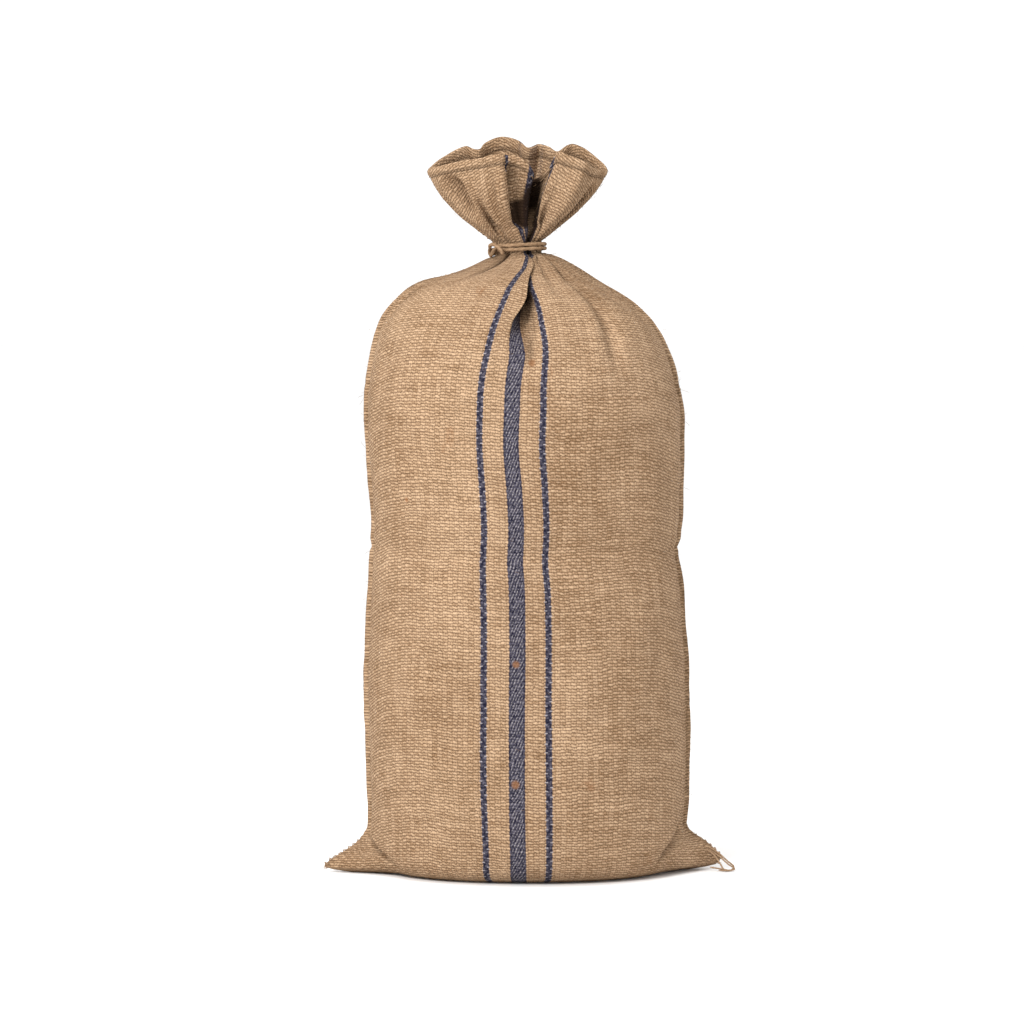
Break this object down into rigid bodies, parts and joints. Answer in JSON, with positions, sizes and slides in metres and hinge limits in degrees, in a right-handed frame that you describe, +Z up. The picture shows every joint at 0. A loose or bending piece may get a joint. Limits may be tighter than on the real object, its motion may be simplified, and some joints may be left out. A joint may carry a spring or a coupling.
{
  "type": "filled jute sack with a tied neck",
  "caption": "Filled woven jute sack standing upright, its neck gathered and tied with twine, the mouth flaring open above the tie and the bottom corners standing out.",
  "frame": {"origin": "on the resting surface, under the middle of the sack", "axes": "+Z up along the sack's height, +X to the right across its width when the front is seen, the front face towards -Y"},
  "size_m": [0.561, 0.3705, 1.0454],
  "materials": {
    "jute_cloth": "coarse plain weave of natural tan jute, paired warp yarns, dark blue warp stripes up the middle of the front and of the back, matt and hairy",
    "jute_twine": "loosely twisted natural jute twine, matt and hairy"
  },
  "bodies": {
    "root": {"sack": "jute_cloth", "tie": "jute_twine"}
  },
  "joints": []
}
